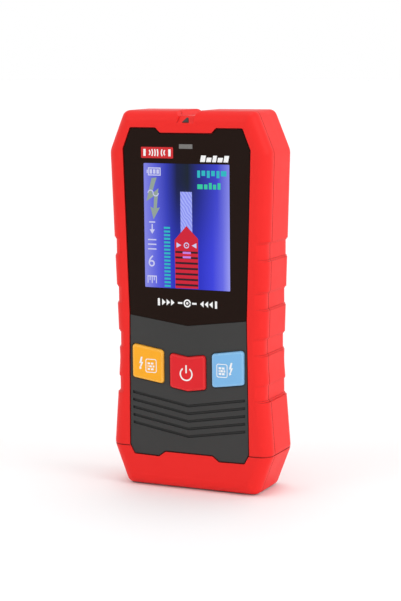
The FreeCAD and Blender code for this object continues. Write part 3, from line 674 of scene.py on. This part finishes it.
def makeBadge():
    # a plain red label: waves between two short walls
    left, right, low, high = badge["area"]
    shape = bmesh.new()
    slab(shape, [roundBar(left, right, low, high, badge["corner"])], lens["printFront"], lens["printBack"])
    place("labelPlate", finished(shape, "labelPlate"), "case", "red_shell", "redPrint")
    shape = bmesh.new()
    middle = 0.5 * (low + high)
    signs = [bar(x, x + 1.0, low + 0.8, high - 0.8) for x in (left + 1.0, right - 2.0)]
    for aim, x, radii in ((0, left + badge["fromEnd"], badge["sent"]),
                          (180, right - badge["fromEnd"], badge["returned"])):
        for inner in radii:
            outer = inner + badge["waveWidth"]
            reach = math.degrees(math.asin(min(0.75, badge["waveHeight"] / outer)))
            signs.append(arcBand(x, middle, inner, outer, aim - reach, aim + reach, 10))
    slab(shape, signs, badge["signFront"], badge["signBack"])
    place("labelSign", finished(shape, "labelSign"), "case", None, "whitePrint")


typeBars = {
    "low": 127.85,
    "high": 130.3,
    "step": 0.75,
    "slant": 0.5,
    "spans": ((5.95, 2.0), (8.45, 2.0), (10.95, 1.6), (13.1, 2.0), (15.6, 1.9)),
}
titleSigns = {"middle": 73.65, "end": 12.1, "arrow": 10.7, "pitch": 1.9, "dash": 3.0}


def makePrinting():
    # where the type and the title are printed: only plain slanted bars and a row of signs
    low, high, slant = typeBars["low"], typeBars["high"], typeBars["slant"]
    signs = []
    for number, (start, wide) in enumerate(typeBars["spans"]):
        top = high if number % 2 == 0 else high - typeBars["step"]
        lean = slant * (top - low) / (high - low)
        signs.append([(start, low), (start + wide, low), (start + wide + lean, top), (start + lean, top)])
    middle = titleSigns["middle"]
    for side in (-1, 1):
        end, dash = side * titleSigns["end"], side * titleSigns["dash"]
        signs += [bar(end - 0.45, end + 0.45, middle - 1.4, middle + 1.4),
                  bar(dash - 0.95, dash + 0.95, middle - 0.35, middle + 0.35)]
        for number in range(3):
            x = side * (titleSigns["arrow"] - titleSigns["pitch"] * number)
            signs.append([(x, middle - 1.25), (x, middle + 1.25), (x - side * 1.5, middle)][::side])
    signs += [arcBand(0, middle, 1.0, 1.55, 0, 345, 30), arcBand(0, middle, 0.01, 0.5, 0, 340, 16)]
    shape = bmesh.new()
    slab(shape, signs, lens["printFront"], lens["printBack"])
    place("printedSigns", finished(shape, "printedSigns"), "case", None, "whitePrint")


makeLens()
makeBadge()
makePrinting()
print("lens and printing done")


# the lit display: a glowing plate with thin figures laid on it

display = {"area": (-17.93, 17.93, 79.17, 126.98), "plate": (-12.62, -11.75), "step": 0.015}


def figure(name, look, outlines, layer):
    shape = bmesh.new()
    front = display["plate"][0] - display["step"] * layer
    slab(shape, outlines, front, front + 0.8 * display["step"])
    place(name, finished(shape, name), "case", "lcd", look)


flash = [(-14.58, 121.33), (-12.44, 121.6), (-14.67, 115.2), (-11.73, 117.49), (-12.53, 109.81),
         (-11.16, 110.16),
         (-13.96, 105.46), (-15.26, 110.34), (-13.9, 109.77), (-13.65, 114.46), (-16.94, 112.44)]
arrow = [(-0.06, 103.4), (4.76, 98.61), (4.72, 79.44), (-4.93, 79.34), (-5.11, 97.85)]
pointer = [(-15.7, 101.6), (-14.6, 99.9), (-13.5, 101.6)]
ruler = {"marks": (-16.9, -16.0, -15.1, -14.2, -13.3), "wide": 0.4, "top": 83.3, "short": 81.9,
         "long": 80.8}
barLines = {
    "signalBars": {"look": "litTeal", "bars": ((4.7, 5.9, 121.9, 124.6), (6.5, 8.0, 122.6, 124.6),
                                               (8.7, 9.9, 121.9, 124.6), (10.5, 12.0, 122.6, 124.6),
                                               (12.7, 13.9, 121.9, 124.6), (14.5, 16.8, 122.6, 124.6))},
    "metalBars": {"look": "litGreen", "bars": ((4.7, 6.9, 117.6, 119.4), (7.5, 8.9, 117.6, 119.4),
                                               (9.5, 10.7, 117.6, 120.0), (11.2, 12.5, 117.6, 119.4),
                                               (13.1, 14.3, 117.6, 120.0))},
}


def makeDisplay():
    shape = bmesh.new()
    slab(shape, [roundBar(*display["area"], 0.33)], *display["plate"])
    place("displayPlate", finished(shape, "displayPlate"), "case", "lcd", "displayGlow")

    cell = frameOutlines(-16.1, -10.7, 122.3, 125.4, 0.42) + [bar(-16.65, -16.2, 123.2, 124.5)]
    cell += [bar(x, x + 1.1, 123.0, 124.7) for x in (-15.4, -13.95, -12.5)]
    figure("chargeSign", "litWhite", cell, 1)

    figure("flashSign", "litPale", [flash], 1)
    wave = [arcBand(-15.1, 115.6, 0.9, 1.3, 0, 180, 12), arcBand(-12.9, 115.6, 0.9, 1.3, 180, 360, 12)]
    figure("flashWave", "litWhite", wave, 2)

    depth = [bar(-15.9, -13.3, 104.2, 104.7), bar(-14.85, -14.35, 101.6, 103.7), pointer]
    depth += [bar(-16.5, -12.9, z, z + 0.5) for z in (97.4, 95.6, 93.8)]
    depth += [bar(-16.9, -12.9, ruler["top"], ruler["top"] + 0.45)]
    for number, x in enumerate(ruler["marks"]):
        depth.append(bar(x, x + ruler["wide"], ruler["short" if number % 2 else "long"], ruler["top"]))
    figure("depthScale", "litWhite", depth, 1)

    for name, line in barLines.items():
        figure(name, line["look"], [bar(*edges) for edges in line["bars"]], 1)

    figure("barPicture", "steelBar", [bar(-2.5, 2.4, 99.5, 116.4)], 1)
    figure("targetArrow", "litRed", [arrow], 2)
    middle = 95.95
    signs = [[(-4.3, middle - 1.0), (-2.3, middle), (-4.3, middle + 1.0)],
             [(4.1, middle + 1.0), (2.1, middle), (4.1, middle - 1.0)],
             arcBand(-0.1, middle, 0.75, 1.15, 0, 345, 24), bar(-0.3, 0.1, middle - 0.2, middle + 0.2)]
    figure("middleSign", "litWhite", signs, 3)
    figure("targetMark", "litViolet", [bar(-1.7, 1.7, 92.7, 93.5), bar(-1.7, 1.7, 91.0, 91.8)], 4)


numeral = {"figure": "6", "middle": (-15.0, 88.95), "high": 4.4}


def makeNumeral():
    # the depth read-out, a single figure turned from a text curve into a thin closed plate
    curve = bpy.data.curves.new("numeral", "FONT")
    curve.body = numeral["figure"]
    curve.size = numeral["high"] * mm / 0.7
    curve.extrude = 0.006 * mm
    curve.align_x = "CENTER"
    curve.resolution_u = 6
    item = bpy.data.objects.new("numeral", curve)
    scene.collection.objects.link(item)
    mesh = bpy.data.meshes.new_from_object(item.evaluated_get(bpy.context.evaluated_depsgraph_get()))
    bpy.data.objects.remove(item)
    x, z = numeral["middle"]
    shape = bmesh.new()
    shape.from_mesh(mesh)
    bmesh.ops.remove_doubles(shape, verts=shape.verts, dist=1e-7)
    middle = sum((vert.co for vert in shape.verts), Vector()) / len(shape.verts)
    front = (display["plate"][0] - display["step"]) * mm
    for vert in shape.verts:
        vert.co = Vector((x * mm + vert.co.x - middle.x, front - vert.co.z, z * mm + vert.co.y - middle.y))
    place("depthNumeral", finished(shape, "depthNumeral"), "case", "lcd", "litWhite")


makeDisplay()
makeNumeral()


# Geometry Nodes: rows of bars, screws, windings and chip parts

def newTree(name, inputs):
    tree = bpy.data.node_groups.new(name, "GeometryNodeTree")
    tree.interface.new_socket("Geometry", in_out="INPUT", socket_type="NodeSocketGeometry")
    for label, (kind, value) in inputs.items():
        socket = tree.interface.new_socket(label, in_out="INPUT", socket_type="NodeSocket" + kind)
        if value is not None:
            socket.default_value = value
    tree.interface.new_socket("Geometry", in_out="OUTPUT", socket_type="NodeSocketGeometry")
    return tree, tree.nodes.new("NodeGroupInput"), tree.nodes.new("NodeGroupOutput")


def instances(tree, points, instance, **more):
    # a copy of the instance on every point
    return addNode(tree, "GeometryNodeInstanceOnPoints",
                   {"Points": points, "Instance": instance, **more}).outputs[0]


def realize(tree, geometry):
    return addNode(tree, "GeometryNodeRealizeInstances", {"Geometry": geometry}).outputs[0]


def block(tree, x, y, z):
    return addNode(tree, "GeometryNodeMeshCube", {"Size": vector(tree, X=x, Y=y, Z=z)}).outputs[0]


def moved(tree, geometry, shift):
    return addNode(tree, "GeometryNodeTransform", {"Geometry": geometry, "Translation": shift}).outputs[0]


def closeTree(tree, given, out, geometry):
    finish = {"Geometry": realize(tree, geometry), "Material": given.outputs["Material"]}
    painted = addNode(tree, "GeometryNodeSetMaterial", finish)
    feed(tree, out, {"Geometry": painted.outputs[0]})


def grow(name, tree, values, look, points=((0, 0, 0),)):
    # runs a tree on a set of points and keeps the result as a plain closed mesh
    seedMesh = bpy.data.meshes.new(name + "Points")
    seedMesh.from_pydata([Vector(point) for point in points], [], [])
    item = bpy.data.objects.new(name, seedMesh)
    scene.collection.objects.link(item)
    modifier = item.modifiers.new("grown", "NODES")
    modifier.node_group = tree
    inputs = (socket for socket in tree.interface.items_tree if socket.in_out == "INPUT")
    sockets = {socket.name: socket.identifier for socket in inputs}
    for label, value in values.items():
        modifier[sockets[label]] = value
    modifier[sockets["Material"]] = finishes[look]
    graph = bpy.context.evaluated_depsgraph_get()
    mesh = bpy.data.meshes.new_from_object(item.evaluated_get(graph))
    item.modifiers.clear()
    mesh.name = name
    item.data = mesh
    bpy.data.meshes.remove(seedMesh)
    return item


def solidBoxes(node):
    # the box of every separate solid in a CAD node
    shape = bmesh.new()
    shape.from_mesh(nodes[node].data)
    bmesh.ops.remove_doubles(shape, verts=shape.verts, dist=1e-6)
    left = set(shape.verts)
    boxes = []
    while left:
        island = [left.pop()]
        for vert in island:
            for edge in vert.link_edges:
                other = edge.other_vert(vert)
                if other in left:
                    left.remove(other)
                    island.append(other)
        low = Vector([min(vert.co[axis] for vert in island) for axis in range(3)])
        high = Vector([max(vert.co[axis] for vert in island) for axis in range(3)])
        boxes.append((low, high))
    shape.free()
    return sorted(boxes, key=lambda pair: tuple(pair[0]))


def barRow():
    # a column of equal bars, one under the other
    tree, given, out = newTree("barRow", {
        "Count": ("Int", 7), "Pitch": ("Float", 2.1 * mm), "Width": ("Float", 9 * mm),
        "Height": ("Float", 0.8 * mm), "Depth": ("Float", 0.012 * mm), "Material": ("Material", None)})
    give = given.outputs
    step = vector(tree, Z=times(tree, give["Pitch"], -1.0))
    row = addNode(tree, "GeometryNodeMeshLine", {"Count": give["Count"], "Offset": step}).outputs[0]
    one = block(tree, give["Width"], give["Depth"], give["Height"])
    rows = realize(tree, instances(tree, give["Geometry"], row))
    closeTree(tree, given, out, instances(tree, rows, one))
    return tree


barRows = {
    "arrowStripes": {"look": "litDark", "x": -0.1, "top": 93.3, "count": 7, "pitch": 2.1, "width": 9.5,
                     "high": 0.8, "layer": 3},
    "fieldGauge": {"look": "litTeal", "x": -8.3, "top": 102.4, "count": 17, "pitch": 1.4, "width": 2.6,
                   "high": 0.75, "layer": 1},
}


def keep(item, body, replaced=None):
    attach(item, body)
    if replaced:
        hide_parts(replaced)


def makeBarRows():
    tree = barRow()
    for name, row in barRows.items():
        y = display["plate"][0] - display["step"] * (row["layer"] - 0.5)
        values = {"Count": row["count"], "Pitch": row["pitch"] * mm, "Width": row["width"] * mm,
                  "Height": row["high"] * mm, "Depth": 0.9 * display["step"] * mm}
        item = grow(name, tree, values, row["look"], [(row["x"] * mm, y * mm, row["top"] * mm)])
        keep(item, "case")


def crossHeadScrew():
    # a pan head with a cross recess on a threaded shank, its axis along Z and the head above the origin
    tree, given, out = newTree("crossHeadScrew", {
        "Head Diameter": ("Float", 4 * mm), "Head Height": ("Float", 1.3 * mm),
        "Shank Diameter": ("Float", 1.5 * mm), "Shank Length": ("Float", 5 * mm),
        "Pitch": ("Float", 0.6 * mm), "Turn": ("Float", 0.0), "Material": ("Material", None)})
    give = given.outputs
    headRadius = times(tree, give["Head Diameter"], 0.5)
    headSize = {"Vertices": 40, "Radius": headRadius, "Depth": give["Head Height"]}
    headUp = vector(tree, Z=times(tree, give["Head Height"], 0.5))
    carved = moved(tree, addNode(tree, "GeometryNodeMeshCylinder", headSize).outputs[0], headUp)
    slotUp = vector(tree, Z=give["Head Height"])
    for wide, deep in ((0.58, 0.15), (0.15, 0.58)):
        slot = block(tree, times(tree, give["Head Diameter"], wide),
                     times(tree, give["Head Diameter"], deep), give["Head Height"])
        carve = addNode(tree, "GeometryNodeMeshBoolean", {0: carved, 1: moved(tree, slot, slotUp)},
                        operation="DIFFERENCE")
        carved = carve.outputs[0]
    shankRadius = times(tree, give["Shank Diameter"], 0.44)
    shankSize = {"Vertices": 20, "Radius": shankRadius, "Depth": give["Shank Length"]}
    shankDown = vector(tree, Z=times(tree, give["Shank Length"], -0.499))
    shank = moved(tree, addNode(tree, "GeometryNodeMeshCylinder", shankSize).outputs[0], shankDown)
    threadLength = times(tree, give["Shank Length"], 0.9)
    turns = maths(tree, "DIVIDE", threadLength, give["Pitch"])
    helix = addNode(tree, "GeometryNodeCurveSpiral", {
        "Resolution": 18, "Rotations": turns, "Start Radius": shankRadius, "End Radius": shankRadius,
        "Height": threadLength})
    ridgeRadius = times(tree, give["Shank Diameter"], 0.06)
    ridge = addNode(tree, "GeometryNodeCurvePrimitiveCircle", {"Resolution": 4, "Radius": ridgeRadius})
    thread = addNode(tree, "GeometryNodeCurveToMesh", {
        "Curve": helix.outputs[0], "Profile Curve": ridge.outputs[0], "Fill Caps": True})
    threadDown = vector(tree, Z=times(tree, give["Shank Length"], -0.96))
    whole = tree.nodes.new("GeometryNodeJoinGeometry")
    for part in (moved(tree, thread.outputs[0], threadDown), shank, carved):
        tree.links.new(part, whole.inputs[0])
    aim = vector(tree, X=give["Turn"])
    spin = addNode(tree, "FunctionNodeRandomValue", {2: 0.0, 3: 1.6, "Seed": 4}, data_type="FLOAT")
    own = vector(tree, Z=spin.outputs[1])
    placed = instances(tree, give["Geometry"], whole.outputs[0], Rotation=aim)
    spun = addNode(tree, "GeometryNodeRotateInstances", {"Instances": placed, "Rotation": own})
    closeTree(tree, given, out, spun.outputs[0])
    return tree


screws = {
    "case_screws": {"piece": "caseScrews", "head": (4.6, 1.8), "shank": (2.1, 8.0), "pitch": 0.85,
                    "facing": 1},
    "board_screws": {"piece": "boardScrews", "head": (3.8, 1.3), "shank": (1.5, 4.6), "pitch": 0.6,
                     "facing": 1},
    "sensor_screws": {"piece": "sensorScrews", "head": (3.8, 1.3), "shank": (1.5, 2.8), "pitch": 0.6,
                      "facing": -1},
}


def makeScrews():
    tree = crossHeadScrew()
    for node, screw in screws.items():
        (headWide, headHigh), (shankWide, shankLong) = screw["head"], screw["shank"]
        points = []
        for low, high in solidBoxes(node):
            seat = high.y - headHigh * mm if screw["facing"] > 0 else low.y + headHigh * mm
            points.append((0.5 * (low.x + high.x), seat, 0.5 * (low.z + high.z)))
        values = {"Head Diameter": headWide * mm, "Head Height": headHigh * mm,
                  "Pitch": screw["pitch"] * mm,
                  "Shank Diameter": shankWide * mm, "Shank Length": shankLong * mm,
                  "Turn": -screw["facing"] * math.pi / 2}
        item = grow(screw["piece"], tree, values, "blackSteel", points)
        keep(item, "case", node)
        print(node, len(points), "screws", len(item.data.polygons), "faces")


winding = {"inner": 15.0, "outer": 19.05, "wire": 0.42, "front": 5.15, "back": 7.85}


def woundWire():
    # rings of wire laid side by side and layer on layer round the Y axis
    tree, given, out = newTree("woundWire", {
        "Inner Radius": ("Float", 15 * mm), "Outer Radius": ("Float", 19 * mm), "Depth": ("Float", 3 * mm),
        "Wire": ("Float", 0.4 * mm), "Material": ("Material", None)})
    give = given.outputs
    span = maths(tree, "SUBTRACT", give["Outer Radius"], give["Inner Radius"])
    columns = maths(tree, "ADD", maths(tree, "FLOOR", maths(tree, "DIVIDE", span, give["Wire"])), 1.0)
    rows = maths(tree, "ADD", maths(tree, "FLOOR", maths(tree, "DIVIDE", give["Depth"], give["Wire"])), 1.0)
    field = addNode(tree, "GeometryNodeMeshGrid", {
        "Size X": span, "Size Y": give["Depth"], "Vertices X": columns, "Vertices Y": rows})
    spot = splitVector(tree, addNode(tree, "GeometryNodeInputPosition").outputs[0])
    middle = times(tree, maths(tree, "ADD", give["Outer Radius"], give["Inner Radius"]), 0.5)
    radius = {"Geometry": field.outputs[0], "Name": "radius",
              "Value": maths(tree, "ADD", spot["X"], middle)}
    stored = addNode(tree, "GeometryNodeStoreNamedAttribute", radius, data_type="FLOAT", domain="POINT")
    flat = {"Geometry": stored.outputs[0], "Position": vector(tree, Z=spot["Y"])}
    stacked = addNode(tree, "GeometryNodeSetPosition", flat)
    ring = addNode(tree, "GeometryNodeCurvePrimitiveCircle", {"Resolution": 64, "Radius": 1.0})
    wanted = addNode(tree, "GeometryNodeInputNamedAttribute", {"Name": "radius"},
                     data_type="FLOAT").outputs[0]
    scale = vector(tree, X=wanted, Y=wanted, Z=1.0)
    loops = realize(tree, instances(tree, stacked.outputs[0], ring.outputs[0], Scale=scale))
    thickness = {"Resolution": 6, "Radius": times(tree, give["Wire"], 0.5)}
    profile = addNode(tree, "GeometryNodeCurvePrimitiveCircle", thickness)
    wire = addNode(tree, "GeometryNodeCurveToMesh", {"Curve": loops, "Profile Curve": profile.outputs[0]})
    turned = addNode(tree, "GeometryNodeTransform", {
        "Geometry": wire.outputs[0], "Rotation": (math.radians(-90), 0.0, 0.0)})
    closeTree(tree, given, out, instances(tree, give["Geometry"], turned.outputs[0]))
    return tree


def makeWinding():
    low, high = (Vector(corner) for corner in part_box("sensing_coil"))
    values = {"Inner Radius": winding["inner"] * mm, "Outer Radius": winding["outer"] * mm,
              "Depth": (winding["back"] - winding["front"]) * mm, "Wire": winding["wire"] * mm}
    item = grow("coilWinding", woundWire(), values, "copper", [tuple(0.5 * (low + high))])
    keep(item, "case", "sensing_coil")
    print("coil winding", len(item.data.polygons), "faces")


def chipPart():
    # a ceramic body with a tinned cap at each end, its length along X
    tree, given, out = newTree("chipPart", {
        "Length": ("Float", 1.6 * mm), "Width": ("Float", 0.8 * mm), "Height": ("Float", 0.5 * mm),
        "Cap": ("Float", 0.25), "Caps": ("Bool", False), "Material": ("Material", None)})
    give = given.outputs
    capLength = times(tree, give["Length"], give["Cap"])
    coreLength = maths(tree, "SUBTRACT", give["Length"], times(tree, capLength, 2.0))
    core = block(tree, coreLength, times(tree, give["Height"], 0.92),
                 times(tree, give["Width"], 0.94))
    cap = block(tree, capLength, give["Height"], give["Width"])
    reach = times(tree, maths(tree, "ADD", coreLength, capLength), 0.5)
    ends = tree.nodes.new("GeometryNodeJoinGeometry")
    for side in (-1.0, 1.0):
        shift = vector(tree, X=times(tree, reach, side))
        tree.links.new(moved(tree, cap, shift), ends.inputs[0])
    choice = {"Switch": give["Caps"], "False": core, "True": ends.outputs[0]}
    chosen = addNode(tree, "GeometryNodeSwitch", choice, input_type="GEOMETRY").outputs[0]
    closeTree(tree, given, out, instances(tree, give["Geometry"], chosen))
    return tree


def makeChips():
    tree = chipPart()
    boxes = solidBoxes("chip_resistors")
    low, high = boxes[0]
    size = high - low
    points = [tuple(0.5 * (first + last)) for first, last in boxes]
    values = {"Length": size.x, "Width": size.z, "Height": size.y}
    bodies = grow("resistorBodies", tree, dict(values, Caps=False), "blackPlastic", points)
    caps = grow("resistorEnds", tree, dict(values, Caps=True), "tin", points)
    keep(bodies, "case", "chip_resistors")
    keep(caps, "case")
    print("chip resistors", len(points))


makeBarRows()
makeScrews()
makeWinding()
makeChips()
print("repeated pieces done")


# keys, with their white signs set flush into the faces

keys = {
    "left_key": {"piece": "leftKeyCap", "sign": "leftKeySign", "look": "orangeKey", "slot": "orange_key",
                 "wall": (-17.9, -13.1, 45.7, 51.1), "flash": (-20.6, -18.9, 46.7, 51.7), "gap": 0.42},
    "power_key": {"piece": "powerKeyCap", "sign": "powerKeySign", "look": "redKey", "slot": "red_key"},
    "right_key": {"piece": "rightKeyCap", "sign": "rightKeySign", "look": "blueKey", "slot": "blue_key",
                  "wall": (12.4, 17.0, 45.9, 51.2), "flash": (17.6, 19.3, 46.9, 51.9), "gap": 0.3},
}
switchSign = {"middle": (-0.45, 46.2), "inner": 2.2, "outer": 2.75, "stroke": 0.3, "top": 3.5}
signFront = -13.5
keyFront = -13.47
signBack = keyFront + 0.02


def boltOutline(x0, x1, z0, z1):
    # a zigzag flash drawn in a unit square, then fitted to the space
    unit = [(0.45, 1.0), (0.0, 0.48), (0.42, 0.5), (0.2, 0.16), (0.0, 0.24), (0.12, 0.0), (0.62, 0.1),
            (0.42, 0.16), (1.0, 0.6), (0.58, 0.58), (0.85, 1.0)]
    return [(x0 + (x1 - x0) * u, z0 + (z1 - z0) * v) for u, v in unit]


def wallSign(x0, x1, z0, z1, gap):
    # a rounded frame, and the courses of a small block of wall in it
    wide = 0.3
    outer = roundBar(x0, x1, z0, z1, 0.8)
    inner = roundBar(x0 + wide, x1 - wide, z0 + wide, z1 - wide, 0.55)
    left, right, low, high = x0 + 0.95, x1 - 0.95, z0 + 1.0, z1 - 1.0
    rows = 3
    tall = (high - low) / rows
    cellWidth = (right - left) / 2
    bricks = []
    for row in range(rows):
        shift = 0.5 * (row % 2)
        for cell in range(3):
            start = max(left, left + (cell - shift) * cellWidth)
            end = min(right, left + (cell + 1 - shift) * cellWidth - gap)
            if end - start > 0.2:
                bricks.append(bar(start, end, low + row * tall, low + (row + 1) * tall - gap))
    return outer, inner, bricks


def ringPlate(shape, outer, inner, front, back):
    # a closed flat ring between two outlines with the same number of corners
    loops = []
    for outline, y in ((outer, front), (inner, front), (inner, back), (outer, back)):
        loops.append([shape.verts.new((x * mm, y * mm, z * mm)) for x, z in outline])
    count = len(outer)
    for number in range(4):
        here, there = loops[number], loops[(number + 1) % 4]
        for corner in range(count):
            after = (corner + 1) % count
            shape.faces.new((here[corner], here[after], there[after], there[corner]))


def makeCap(node, key):
    shape = bmesh.new()
    shape.from_mesh(nodes[node].data)
    bmesh.ops.remove_doubles(shape, verts=shape.verts, dist=1e-6)
    for vert in shape.verts:
        vert.co.y = max(vert.co.y, keyFront * mm)
    bmesh.ops.dissolve_degenerate(shape, edges=shape.edges, dist=1e-7)
    mesh = finished(shape, key["piece"])
    for polygon in mesh.polygons:
        polygon.use_smooth = True
    mesh.set_sharp_from_angle(angle=math.radians(35))
    cap = place(key["piece"], mesh, node, key["slot"], key["look"])
    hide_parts(node)


def makeSign(node, key):
    shape = bmesh.new()
    if node == "power_key":
        x, z = switchSign["middle"]
        stroke = roundBar(x - switchSign["stroke"], x + switchSign["stroke"], z + 0.3,
                          z + switchSign["top"], 0.25)
        ring = arcBand(x, z, switchSign["inner"], switchSign["outer"], 125, 415, 44)
        slab(shape, [ring, stroke], signFront, signBack)
    else:
        outer, inner, bricks = wallSign(*key["wall"], key["gap"])
        ringPlate(shape, outer, inner, signFront, signBack)
        slab(shape, bricks + [boltOutline(*key["flash"])], signFront, signBack)
    place(key["sign"], finished(shape, key["sign"]), node, None, "whitePrint")


def makeKeys():
    for node, key in keys.items():
        makeCap(node, key)
        makeSign(node, key)


makeKeys()
print("keys done")
